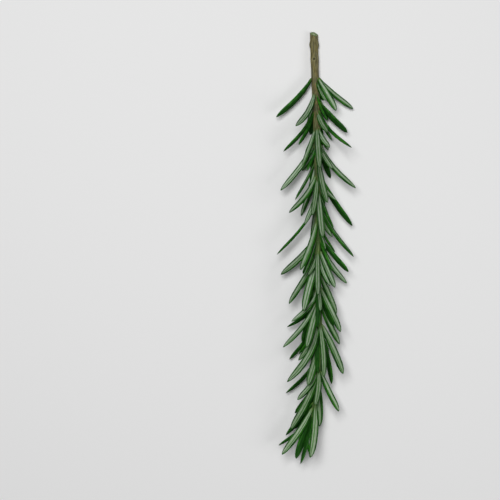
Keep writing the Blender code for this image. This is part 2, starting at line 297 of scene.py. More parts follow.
@dataclass(frozen=True)
class StemFinish:
    """Stem skin that turns from olive brown bark at the cut to downy green at the tip."""

    bark_deep: Colour = (0.06, 0.055, 0.025)
    bark_light: Colour = (0.23, 0.195, 0.07)
    lichen: Colour = (0.3, 0.3, 0.2)
    scar: Colour = (0.035, 0.03, 0.015)
    lip: Colour = (0.27, 0.25, 0.12)
    green_deep: Colour = (0.035, 0.08, 0.012)
    green_light: Colour = (0.12, 0.19, 0.05)
    down: Colour = (0.42, 0.47, 0.34)
    hollow_edge: Span = (0.4, 0.6)
    lip_inside: Span = (0.45, 0.7)
    lip_outside: Span = (0.85, 1.2)
    greening: Span = (22.0, 88.0)
    gloss: float = 0.2
    relief: float = 0.0002

    def material(self) -> bpy.types.Material:
        """The stem's material, which reads how far along the stem and how far off its scars a point is."""
        sheet = NodeSheet("rosemary_stem")
        station, scar, _ = sheet.parts("stem")
        place = sheet.object_place()
        fibres = sheet.noise(sheet.spread(place, 2600.0, 190.0, 2600.0), 1.0, 4.0)
        streaks = sheet.smooth(fibres, 0.38, 0.62)
        flakes = sheet.smooth(sheet.noise(sheet.spread(place, 700.0, 350.0, 700.0), 1.0, 3.0), 0.4, 0.65)
        bark = sheet.mix(streaks, self.bark_deep, self.bark_light)
        bark = sheet.mix(flakes * 0.2, bark, self.lichen)
        lip = sheet.smooth(scar, *self.lip_inside) * (1.0 - sheet.smooth(scar, *self.lip_outside))
        bark = sheet.mix(lip * 0.6, bark, self.lip)
        hollow = 1.0 - sheet.smooth(scar, *self.hollow_edge)
        bark = sheet.mix(hollow * 0.85, bark, self.scar)
        green = sheet.mix(streaks, self.green_deep, self.green_light)
        ripe = sheet.smooth(station + flakes * 14.0, *self.greening)
        colour = sheet.mix(ripe, bark, green)
        down = sheet.smooth(sheet.noise(place, 9000.0, 2.0), 0.5, 0.7)
        colour = sheet.mix(down * ripe * 0.3, colour, self.down)
        sheet.feed(sheet.shader.inputs["Specular IOR Level"], self.gloss)
        return sheet.dress(colour, 0.66 + streaks * 0.14, streaks * 0.8 + flakes * 0.2, self.relief)


@dataclass(frozen=True)
class CutFinish:
    """Fresh cut through the stem: dark bark rim, pale green wood and a spongy light pith."""

    rim: Colour = (0.045, 0.05, 0.022)
    wood: Colour = (0.2, 0.29, 0.12)
    ray: Colour = (0.13, 0.19, 0.07)
    pith: Colour = (0.42, 0.45, 0.3)
    pith_edge: Span = (0.32, 0.46)
    rim_edge: Span = (0.86, 0.96)
    relief: float = 0.0002

    def material(self) -> bpy.types.Material:
        """The cut's material, which reads how far out from the pith a point is."""
        sheet = NodeSheet("rosemary_cut")
        _, _, out = sheet.parts("stem")
        grain = sheet.noise(sheet.object_place(), 5200.0, 4.0)
        colour = sheet.mix(sheet.smooth(grain, 0.4, 0.62) * 0.6, self.wood, self.ray)
        colour = sheet.mix(sheet.smooth(out + grain * 0.2, *self.pith_edge), self.pith, colour)
        colour = sheet.mix(sheet.smooth(out + grain * 0.1, *self.rim_edge), colour, self.rim)
        return sheet.dress(colour, 0.78 + grain * 0.1, grain, self.relief)


class StemKnot(NamedTuple):
    """A point that the stem runs through, in mm."""

    station: float
    x: float
    height: float
    radius: float


class StemPlace(NamedTuple):
    """The stem at one station: its middle, its way to the tip, and its right and top sides."""

    middle: Vector
    ahead: Vector
    right: Vector
    top: Vector

    def outward(self, azimuth: float) -> Vector:
        """Direction out of the stem, from azimuth 0 at its right over pi / 2 at its top."""
        return math.cos(azimuth) * self.right + math.sin(azimuth) * self.top

    def azimuth(self, point: Vector) -> float:
        """The side of the stem that a point is on."""
        out = point - self.middle
        return math.atan2(out.dot(self.top), out.dot(self.right))


@dataclass(frozen=True)
class StemLine:
    """The line and thickness of the stem, the same as in the solids."""

    axis_x: float = 0.8
    cut_end_y: float = 87.3
    length: float = 162.0
    wood_ends: float = 16.5
    gap: float = 0.3
    swelling: float = 0.08
    swelling_reach: float = 1.3
    scars: tuple[tuple[float, float], ...] = ((5.8, 12.0), (11.8, 98.0))
    knots: tuple[StemKnot, ...] = (
        StemKnot(0.0, -1.4, 1.5, 1.65),
        StemKnot(17.0, -1.0, 3.0, 1.55),
        StemKnot(45.0, -0.2, 6.2, 1.45),
        StemKnot(75.0, 0.1, 7.6, 1.3),
        StemKnot(105.0, 0.0, 7.8, 1.15),
        StemKnot(119.0, 0.6, 7.7, 1.1),
        StemKnot(137.0, 0.3, 7.5, 0.95),
        StemKnot(150.0, -1.1, 7.2, 0.8),
        StemKnot(162.0, -4.9, 6.6, 0.55),
    )

    def route(self, station: float) -> list[float]:
        """x, height and radius at a station, on a smooth curve through the knots.

        Args:
            station: The station in mm.

        Returns:
            The three values in mm.
        """
        index = 0
        while index < len(self.knots) - 2 and station > self.knots[index + 1].station:
            index += 1
        before = self.knots[max(index - 1, 0)]
        start = self.knots[index]
        end = self.knots[index + 1]
        after = self.knots[min(index + 2, len(self.knots) - 1)]
        span = end.station - start.station
        t = (station - start.station) / span
        values = []
        for column in (1, 2, 3):
            slope_in = (end[column] - before[column]) / (end[0] - before[0]) * span
            slope_out = (after[column] - start[column]) / (after[0] - start[0]) * span
            rise = end[column] - start[column]
            bend = slope_in - rise
            unbend = rise - slope_out
            values.append(start[column] + t * rise + t * (1 - t) * ((1 - t) * bend + t * unbend))
        return values

    def middle(self, station: float) -> Vector:
        """A point of the stem's axis, in metres."""
        x, height, _ = self.route(station)
        return Vector((self.axis_x + x, self.cut_end_y - station, height)) * MM

    def radius(self, station: float) -> float:
        """Radius of the stem in metres, with the swellings at the stripped pairs."""
        swelling = sum(
            math.exp(-(((station - scar[0]) / self.swelling_reach) ** 2)) for scar in self.scars
        )
        return self.route(station)[2] * (1 + self.swelling * swelling) * MM

    def place(self, station: float) -> StemPlace:
        """The stem's middle and directions at a station."""
        ahead = (self.middle(station + 1.0) - self.middle(station - 1.0)).normalized()
        right = UP.cross(ahead).normalized()
        return StemPlace(self.middle(station), ahead, right, ahead.cross(right))


class LeafRow(Enum):
    """The side of the stem that a leaf stands on, or its kind."""

    TOP = "leaves_top"
    LEFT = "leaves_left"
    RIGHT = "leaves_right"
    BELOW = "leaves_below"
    SHORT = "axil_leaves"
    TIP = "tip_leaves"


@dataclass
class Leaf:
    """One leaf: a curve from root to tip, and the way its upper side looks."""

    station: float
    root: Vector
    control: Vector
    tip: Vector
    inward: Vector
    width: float
    row: LeafRow = LeafRow.TOP

    def middle(self, t: float) -> Vector:
        """Point of the midrib at t, from 0 at the root to 1 at the tip."""
        return (1 - t) ** 2 * self.root + 2 * t * (1 - t) * self.control + t * t * self.tip

    def heading(self, t: float) -> Vector:
        """Direction of the midrib at t."""
        return ((1 - t) * (self.control - self.root) + t * (self.tip - self.control)).normalized()


class Seen(NamedTuple):
    """A leaf that the photograph shows: where its tip is from its root, and how far its middle bows right."""

    station: float
    right: float
    up: float
    ahead: float
    width: float
    turn: float
    shift: float


@dataclass(frozen=True)
class LeafPlan:
    """Where every leaf grows: the seen ones as listed, and the rest by a seeded rule, as in the solids."""

    stem: StemLine
    root_sunk: float = 0.55
    control_share: float = 0.42
    tip_depth: float = 1.0
    top_from: float = 0.75
    below_from: float = -0.6
    first_node: float = 19.0
    last_node: float = 157.0
    internode_old: float = 6.6
    internode_young: float = 3.6
    internode_play: Span = (0.92, 1.08)
    seen_from: float = 92.0
    underside: float = -0.45
    seed: int = 11
    draws: int = 12
    reach: float = 40.0
    least_room: float = 0.9
    length_start: float = 17.5
    length_swell: float = 5.5
    length_fall: float = 5.0
    length_play: Span = (0.88, 1.12)
    spread_start: float = 42.0
    spread_fall: float = 8.0
    spread_play: float = 7.0
    azimuth_play: float = 16.0
    bows: Span = (0.3, 0.8)
    axil_share: float = 0.75
    axil_angle: float = 34.0
    axil_lengths: Span = (0.45, 0.75)
    axil_spreads: Span = (0.6, 0.85)
    widths: Span = (2.3, 2.9)
    axil_widths: Span = (1.8, 2.3)
    tuft_leaves: int = 6
    tuft_station: float = 160.5
    tuft_width: float = 1.7
    tuft_first_azimuth: float = 170.0
    tuft_azimuth_step: float = 40.0
    turns: Span = (-0.9, 1.5)
    seen: tuple[Seen, ...] = (
        # beside the hidden half, on the right
        Seen(19.4, 7.4, 5.0, 13.8, 3.0, 0.9, -0.3),
        Seen(29.0, 11.8, 1.0, 12.6, 2.5, -0.8, -0.6),
        Seen(84.0, 11.4, 1.5, 13.6, 2.3, -0.7, -0.6),
        Seen(89.0, 6.0, 4.5, 14.8, 2.5, 1.0, -0.2),
        # from the first seen pair to the long leaf on the left
        Seen(92.0, -10.9, 0.5, 18.4, 2.5, 1.2, 0.6),
        Seen(93.6, -5.6, 8.0, 19.4, 3.0, 1.2, -0.2),
        Seen(98.4, 6.6, 2.0, 16.0, 2.6, 1.0, 0.2),
        Seen(104.8, -10.1, 4.5, 12.5, 2.1, 0.7, 2.7),
        Seen(108.0, -11.8, -3.0, 11.8, 1.6, -0.9, 3.6),
        Seen(109.6, -13.6, 3.5, 18.0, 2.2, 0.9, 1.7),
        Seen(110.4, -4.7, 8.5, 17.0, 3.0, 0.9, 0.2),
        Seen(100.8, -0.4, 5.0, 18.8, 2.1, -3.0, 0.1),
        Seen(103.2, 0.7, 6.5, 9.8, 1.8, 0.3, 0.1),
        Seen(103.2, 8.2, 6.0, 18.2, 2.9, 0.9, -0.1),
        Seen(104.8, 5.6, 1.0, 14.6, 2.6, -0.8, -0.9),
        Seen(108.0, 7.9, 1.5, 18.6, 2.9, 0.8, -1.2),
        Seen(108.0, -5.6, -1.5, 17.9, 2.8, -0.5, 0.3),
        # from there to the bend of the stem
        Seen(118.4, 8.7, 4.0, 19.8, 3.0, 0.8, 0.0),
        Seen(117.6, -12.6, 7.5, 23.5, 2.8, 0.9, 3.2),
        Seen(118.0, 1.3, 7.5, 21.1, 2.5, 0.4, 0.4),
        Seen(115.2, -7.7, 0.5, 17.8, 2.4, 1.0, 2.2),
        Seen(118.4, -11.3, -5.0, 14.6, 1.7, -0.7, 0.6),
        Seen(120.8, -0.6, 2.5, 17.1, 2.0, -3.0, -0.3),
        Seen(122.4, 4.3, -1.0, 20.2, 2.3, -0.9, 0.2),
        Seen(126.8, -4.2, 2.5, 16.1, 3.0, 1.3, 0.2),
        Seen(128.8, -12.8, -4.8, 17.9, 1.8, -0.9, 3.1),
        # from the bend to the tip
        Seen(138.4, -8.0, 2.5, 10.3, 2.3, 0.8, 0.9),
        Seen(136.8, -1.6, 7.5, 13.6, 2.5, 0.5, 0.5),
        Seen(137.2, 7.4, 2.5, 16.1, 3.1, 0.35, -0.6),
        Seen(140.0, -10.7, 4.0, 20.4, 2.9, 0.9, 0.9),
        Seen(143.2, -8.5, -3.0, 11.5, 1.9, -0.6, 0.3),
        Seen(144.8, -12.0, -2.5, 18.7, 2.6, -0.8, 2.2),
        Seen(142.4, 0.4, -2.0, 17.4, 2.2, -0.9, 0.5),
        Seen(145.6, 0.4, 1.5, 13.6, 2.0, 1.5, 0.3),
        Seen(150.4, -2.3, 5.5, 20.9, 3.1, 1.6, 0.6),
        Seen(150.0, -7.4, -0.5, 10.5, 2.2, -0.9, 0.2),
        Seen(152.0, -12.5, 3.0, 18.6, 2.7, 0.9, 0.9),
        Seen(156.4, -12.4, -2.0, 11.2, 1.6, -0.9, 2.0),
        Seen(153.6, -6.6, 1.5, 18.7, 2.8, -1.6, 0.1),
        Seen(154.4, -4.9, 1.0, 19.9, 1.8, -1.6, 0.4),
    )

    def make_leaf(self, station: float, chord: Vector, width: float, turn: float, bow: float) -> Leaf:
        """A leaf from its station and the way from its root to its tip.

        Args:
            station: Where on the stem it grows, in mm.
            chord: The way from root to tip, in metres.
            width: Its greatest width, in metres.
            turn: How far its underside is turned up.
            bow: How closely it follows the stem at first.

        Returns:
            The leaf.
        """
        heading = self.stem.place(station).ahead
        side = (chord - chord.dot(heading) * heading).normalized()
        root = self.stem.middle(station) + side * self.root_sunk * self.stem.radius(station)
        length = chord.length
        lowest = -self.tip_depth * MM - root.z
        if chord.z < lowest:
            flat = Vector((chord.x, chord.y, 0.0)).normalized()
            chord = flat * math.sqrt(max(length**2 - lowest**2, 0.0)) + UP * lowest
        start = (chord.normalized().lerp(heading, bow)).normalized()
        control = root + start * self.control_share * length
        inward = (-side - turn * UP).normalized()
        return Leaf(station, root, control, root + chord, inward, width, self.row_of(side))

    def seen_leaf(self, seen: Seen) -> Leaf:
        """A listed leaf."""
        chord = Vector((seen.right, -seen.ahead, seen.up)) * MM
        leaf = self.make_leaf(seen.station, chord, seen.width * MM, seen.turn, 0.0)
        leaf.control = (leaf.root + leaf.tip) / 2 + Vector((2 * seen.shift * MM, 0.0, 0.0))
        return leaf

    def row_of(self, side: Vector) -> LeafRow:
        """The row of a leaf that leaves the stem on this side."""
        if side.z > self.top_from:
            return LeafRow.TOP
        if side.z < self.below_from:
            return LeafRow.BELOW
        return LeafRow.LEFT if side.x < 0 else LeafRow.RIGHT

    def ruled_leaf(
        self,
        draw: random.Random,
        station: float,
        azimuth: float,
        spread: float,
        length: float,
        width: float,
    ) -> Leaf:
        """A leaf that stands off the stem by an angle, with small seeded differences.

        Args:
            draw: The source of the differences.
            station: Where on the stem it grows, in mm.
            azimuth: The side of the stem that it stands on.
            spread: Its angle off the stem.
            length: Its length in mm.
            width: Its greatest width in mm.

        Returns:
            The leaf.
        """
        azimuth += math.radians(draw.uniform(-self.azimuth_play, self.azimuth_play))
        spread += math.radians(draw.uniform(-self.spread_play, self.spread_play))
        length *= draw.uniform(*self.length_play)
        bow = draw.uniform(*self.bows)
        turn = draw.uniform(*self.turns)
        place = self.stem.place(station)
        way = math.cos(spread) * place.ahead + math.sin(spread) * place.outward(azimuth)
        return self.make_leaf(station, way * length * MM, width * MM, turn, bow)

    @staticmethod
    def room_round(leaf: Leaf, others: list[Leaf]) -> float:
        """Distance from the outer part of a leaf to the nearest other leaf, in metres."""
        nearest = 1.0
        for t in (0.4, 0.6, 0.8, 1.0):
            point = leaf.middle(t)
            for other in others:
                for u in (0.3, 0.5, 0.7, 0.85, 1.0):
                    nearest = min(nearest, (point - other.middle(u)).length)
        return nearest

    def grow(self, draw: random.Random, leaves: list[Leaf], row: LeafRow | None, *rule: float) -> None:
        """Adds the one of a few drawn leaves that keeps furthest from the others, if it has room.

        Args:
            draw: The source of the draws.
            leaves: The leaves so far.
            row: The row that the leaf belongs to, or None for the side that it stands on.
            rule: Station, azimuth, spread, length and width.
        """
        near = [
            other for other in leaves if (other.root - self.stem.middle(rule[0])).length < self.reach * MM
        ]
        choices = [self.ruled_leaf(draw, *rule) for _ in range(self.draws)]
        rooms = [self.room_round(leaf, near) for leaf in choices]
        room = max(rooms)
        if room > self.least_room * MM:
            best = choices[rooms.index(room)]
            best.row = row or best.row
            leaves.append(best)

    def node_stations(self, draw: random.Random) -> list[float]:
        """Stations of the pairs, closer together towards the tip."""
        stations = []
        station = self.first_node
        while station < self.last_node:
            stations.append(station)
            share = (station - self.first_node) / (self.last_node - self.first_node)
            gap = self.internode_old + (self.internode_young - self.internode_old) * share**2
            station += gap * draw.uniform(*self.internode_play)
        return stations

    def has_place(self, station: float, azimuth: float) -> bool:
        """Whether the rule places a leaf here, or the listed leaves already fill the place."""
        return station < self.seen_from or math.sin(azimuth) < self.underside

    def all_leaves(self) -> list[Leaf]:
        """The listed leaves, then the pairs, the short leaves in their axils and the tip's tuft."""
        draw = random.Random(self.seed)
        leaves = [self.seen_leaf(seen) for seen in self.seen]
        for index, station in enumerate(self.node_stations(draw)):
            share = station / self.stem.length
            phase = math.radians(90 * (index % 2) + 20 * math.sin(0.9 * index) + draw.uniform(-9, 9))
            swell = self.length_swell * math.sin(math.pi * min(share * 1.25, 1.0))
            length = self.length_start + swell - self.length_fall * share**4
            spread = math.radians(self.spread_start - self.spread_fall * share)
            for azimuth in (phase, phase + math.pi):
                if self.has_place(station, azimuth):
                    width = draw.uniform(*self.widths)
                    self.grow(draw, leaves, None, station, azimuth, spread, length, width)
                for side in (-1, 1):
                    axil = azimuth + side * math.radians(self.axil_angle)
                    short = length * draw.uniform(*self.axil_lengths)
                    tight = spread * draw.uniform(*self.axil_spreads)
                    if draw.random() < self.axil_share and self.has_place(station, axil):
                        width = draw.uniform(*self.axil_widths)
                        self.grow(draw, leaves, LeafRow.SHORT, station + 1.0, axil, tight, short, width)
        for index in range(self.tuft_leaves):
            azimuth = math.radians(self.tuft_first_azimuth + self.tuft_azimuth_step * index)
            spread = math.radians(8 + 2.5 * index)
            leaves.append(
                self.ruled_leaf(draw, self.tuft_station, azimuth, spread, 5 + index, self.tuft_width)
            )
            leaves[-1].row = LeafRow.TIP
        return leaves


@dataclass(frozen=True)
class Surface:
    """The table top, which bends what would reach below it."""

    soft_height: float = 1.2
    lowest_middle: float = 0.1
    skin_height: float = 0.35
    skin_lowest: float = 0.02

    @staticmethod
    def lifted(height: float, soft: float, lowest: float) -> float:
        """A height that levels off at lowest once it falls below soft."""
        if height >= soft:
            return height
        return lowest + (soft - lowest) * math.exp((height - soft) / (soft - lowest))

    def bend(self, point: Vector) -> Vector:
        """The middle of a blade, bent to lie along the surface."""
        height = self.lifted(point.z, self.soft_height * MM, self.lowest_middle * MM)
        return Vector((point.x, point.y, height))

    def press(self, point: Vector) -> Vector:
        """A point of a skin, pressed flat where it meets the surface."""
        height = self.lifted(point.z, self.skin_height * MM, self.skin_lowest * MM)
        return Vector((point.x, point.y, height))


def deselect_all() -> None:
    """Leaves nothing selected."""
    bpy.ops.object.select_all(action="DESELECT")


def use(piece: bpy.types.Object) -> None:
    """Makes a piece the only selected and active one."""
    deselect_all()
    piece.select_set(True)
    bpy.context.view_layer.objects.active = piece


def in_edit_mode(piece: bpy.types.Object, work: Callable[[], None]) -> None:
    """Does some work on a piece in edit mode.

    Args:
        piece: The piece.
        work: What is done there.
    """
    use(piece)
    bpy.ops.object.mode_set(mode="EDIT")
    work()
    bpy.ops.object.mode_set(mode="OBJECT")


def selected_vertices(piece: bpy.types.Object) -> list[bmesh.types.BMVert]:
    """The vertices that are selected on a piece in edit mode."""
    return [vertex for vertex in bmesh.from_edit_mesh(piece.data).verts if vertex.select]


def extrude_and_move(piece: bpy.types.Object, moved: Callable[[Vector], Vector]) -> None:
    """Extrudes what is selected on a piece in edit mode, and moves each of the new vertices.

    Args:
        piece: The piece.
        moved: Gives a vertex's new place from its old one.
    """
    bpy.ops.mesh.extrude_region_move(TRANSFORM_OT_translate={"value": (0.0, 0.0, 0.0)})
    for vertex in selected_vertices(piece):
        vertex.co = moved(vertex.co)
    bmesh.update_edit_mesh(piece.data)


def turn_faces_out() -> None:
    """Turns all faces of the piece in edit mode outwards."""
    bpy.ops.mesh.select_all(action="SELECT")
    bpy.ops.mesh.normals_make_consistent(inside=False)


def join_pieces(pieces: list[bpy.types.Object], name: str) -> bpy.types.Object:
    """Joins several meshes in one piece.

    Args:
        pieces: The meshes.
        name: The joined piece's name.

    Returns:
        The joined piece.
    """
    use(pieces[0])
    for piece in pieces:
        piece.select_set(True)
    bpy.ops.object.join()
    pieces[0].name = name
    pieces[0].data.name = name
    return pieces[0]


def write_vectors(piece: bpy.types.Object, name: str, values: Iterable[Vector | tuple]) -> None:
    """Writes a vector attribute on the vertices.

    Args:
        piece: The piece.
        name: The attribute's name.
        values: One vector for each vertex.
    """
    made = piece.data.attributes.new(name, "FLOAT_VECTOR", "POINT")
    for slot, value in zip(made.data, values):
        slot.vector = value


def settle(piece: bpy.types.Object, node: str) -> None:
    """Smooths a finished piece and ties it to the solids.

    Args:
        piece: The piece.
        node: The solid that it stands for.
    """
    use(piece)
    bpy.ops.object.shade_smooth_by_angle(angle=SMOOTH_ANGLE)
    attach(piece, BODY)
    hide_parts(node)
    log.info("%s: %d faces", piece.name, len(piece.data.polygons))


@dataclass
class LeafTemplate:
    """One straight leaf, a unit long and with half its width as the unit across.

    The section runs round the blade from the rib below: felt, rolled rim, and the grooved upper side.
    """

    felt_half: tuple[Span, ...] = ((0.0, -0.22), (-0.12, -0.12), (-0.36, -0.1), (-0.56, -0.3), (-0.67, -0.66))
    rim_half: tuple[Span, ...] = ((-0.84, -0.76), (-1.0, -0.52), (-0.96, -0.1))
    top_half: tuple[Span, ...] = ((-0.6, 0.18), (0.0, 0.1))
    rows: tuple[float, ...] = (0.0, 0.06, 0.18, 0.36, 0.54, 0.7, 0.82, 0.91, 0.965, 0.993)
    stalk_thick: float = 0.3
    stalk_ends: float = 0.15
    root_pinch: float = 0.45
    pinch_ends: float = 0.06
    root_narrow: float = 0.42
    wide_from: float = 0.4
    wide_to: float = 0.66

    def __post_init__(self) -> None:
        """Puts the whole section together from its half and the half's mirror image."""
        half = self.felt_half + self.rim_half + self.top_half
        self.section = half + tuple((-across, height) for across, height in reversed(half[1:-1]))

    def half_width(self, t: float) -> float:
        """Half of the leaf's width at t, as a share of its greatest."""
        base = self.root_narrow + (1 - self.root_narrow) * min(t / self.wide_from, 1.0) ** 0.8
        pinch = self.root_pinch + (1 - self.root_pinch) * min(t / self.pinch_ends, 1.0)
        end = (1 - max((t - self.wide_to) / (1 - self.wide_to), 0.0) ** 3) ** 0.65
        return base * pinch * end

    def thickness(self, t: float) -> float:
        """How much thicker than the section the leaf is at t."""
        return 1 + self.stalk_thick * max(1 - t / self.stalk_ends, 0.0)

    def ring(self, corner: int, t: float) -> Vector:
        """A corner of the section at t, in the template's own measure."""
        across, height = self.section[corner]
        half = self.half_width(t)
        return Vector((across * half, t, height * half * self.thickness(t)))

    def share_round(self, mark: Vector) -> float:
        """How far round the section a corner is, from 0 at the rib up to 1."""
        gaps = [math.hypot(mark.x - across, mark.z - height) for across, height in self.section]
        return gaps.index(min(gaps)) / len(gaps)

    def build(self) -> bpy.types.Object:
        """Models the leaf: its section as an outline, extruded row by row and closed at both ends.

        Returns:
            The template object.
        """
        deselect_all()
        bpy.ops.mesh.primitive_circle_add(vertices=len(self.section), radius=1.0, fill_type="NGON")
        leaf = bpy.context.object
        leaf.name = "leaf_template"
        for corner, vertex in enumerate(leaf.data.vertices):
            vertex.co = self.ring(corner, self.rows[0])
        in_edit_mode(leaf, lambda: self.extrude_rows(leaf))
        return leaf

    def extrude_rows(self, leaf: bpy.types.Object) -> None:
        """Extrudes the outline along the leaf and draws its end together.

        Args:
            leaf: The template, in edit mode with its first outline selected.
        """
        bpy.ops.mesh.select_all(action="SELECT")
        for before, after in zip(self.rows, self.rows[1:]):
            extrude_and_move(leaf, lambda point: self.resized(point, before, after))
        extrude_and_move(leaf, lambda point: Vector((point.x, 1.0, point.z)))
        bpy.ops.mesh.merge(type="CENTER")
        turn_faces_out()

    def resized(self, point: Vector, before: float, after: float) -> Vector:
        """A corner that was extruded from one row to the next, at the next row's size."""
        width = self.half_width(after) / self.half_width(before)
        depth = width * self.thickness(after) / self.thickness(before)
        return Vector((point.x * width, after, point.z * depth))


@dataclass
class Foliage:
    """All the leaves, in a piece for each row round the stem."""

    stem: StemLine
    finish: LeafFinish
    surface: Surface = field(default_factory=Surface)
    template: LeafTemplate = field(default_factory=LeafTemplate)
    look_seed: int = 5
    twist: float = 0.22
    sway: float = 0.25
    young_from: float = 100.0
    young_share: float = 0.25
    tip_share: float = 0.4
    strip_margin: float = 0.02
    strip_shape: float = 2.5

    def build(self) -> None:
        """Models and dresses the leaves."""
        material = self.finish.material()
        template = self.template.build()
        draw = random.Random(self.look_seed)
        rows: dict[LeafRow, list[bpy.types.Object]] = {row: [] for row in LeafRow}
        for leaf in LeafPlan(self.stem).all_leaves():
            rows[leaf.row].append(self.copy_leaf(template, leaf, draw))
        bpy.data.objects.remove(template)
        for row, blades in rows.items():
            self.lay_out(blades)
            piece = join_pieces(blades, row.value)
            piece.data.materials.append(material)
            settle(piece, "leafy_stem")

    def copy_leaf(self, template: bpy.types.Object, leaf: Leaf, draw: random.Random) -> bpy.types.Object:
        """Copies the template and bends the copy along one leaf's curve.

        Args:
            template: The straight leaf.
            leaf: The leaf's curve.
            draw: The source of its twist and tone.

        Returns:
            The bent copy.
        """
        mesh = template.data.copy()
        blade = bpy.data.objects.new("blade", mesh)
        bpy.context.scene.collection.objects.link(blade)
        twist = draw.uniform(-self.twist, self.twist)
        sway = draw.uniform(-self.sway, self.sway) * MM
        tone = draw.random()
        seed = draw.random()
        young_length = self.stem.length - self.young_from
        age = self.young_share * max(leaf.station - self.young_from, 0.0) / young_length
        age += self.tip_share if leaf.row is LeafRow.TIP else 0.0
        half = leaf.width / 2
        marks = []
        for vertex in mesh.vertices:
            x, t, z = vertex.co
            marks.append(self.mark(x, t, z))
            along = leaf.heading(t)
            above = (leaf.inward - leaf.inward.dot(along) * along).normalized()
            side = along.cross(above)
            turn = twist * t * t
            across = side * math.cos(turn) + above * math.sin(turn)
            out = above * math.cos(turn) - side * math.sin(turn)
            middle = self.surface.bend(leaf.middle(t) + side * sway * math.sin(math.pi * t))
            vertex.co = self.surface.press(middle + across * x * half + out * z * half)
        write_vectors(blade, "blade", marks)
        write_vectors(blade, "growth", [(tone, age, seed)] * len(marks))
        return blade

    def mark(self, x: float, t: float, z: float) -> tuple[float, float, float]:
        """How far across and along the blade and how far above its middle a corner is."""
        half = self.template.half_width(t)
        if half < 0.01:
            return 0.0, t, 0.0
        return x / half, t, z / half / self.template.thickness(t)

    def lay_out(self, blades: list[bpy.types.Object]) -> None:
        """Gives each blade of a piece its own strip of the piece's map, unrolled from rib to rib.

        Args:
            blades: The blades that will be joined in one piece.
        """
        columns = max(round(math.sqrt(len(blades) * self.strip_shape)), 1)
        lines = math.ceil(len(blades) / columns)
        used = 1 - 2 * self.strip_margin
        for index, blade in enumerate(blades):
            left = (index % columns) / columns
            low = (index // columns) / lines
            marks = [slot.vector.copy() for slot in blade.data.attributes["blade"].data]
            turns = [self.template.share_round(mark) for mark in marks]
            layer = blade.data.uv_layers.new(name="OFBake")
            for polygon in blade.data.polygons:
                shares = [turns[vertex] for vertex in polygon.vertices]
                if max(shares) - min(shares) > 0.5:
                    shares = [share + 1.0 if share < 0.5 else share for share in shares]
                for loop, vertex, share in zip(polygon.loop_indices, polygon.vertices, shares):
                    layer.data[loop].uv = (
                        left + (self.strip_margin + used * share) / columns,
                        low + (self.strip_margin + used * marks[vertex].y) / lines,
                    )


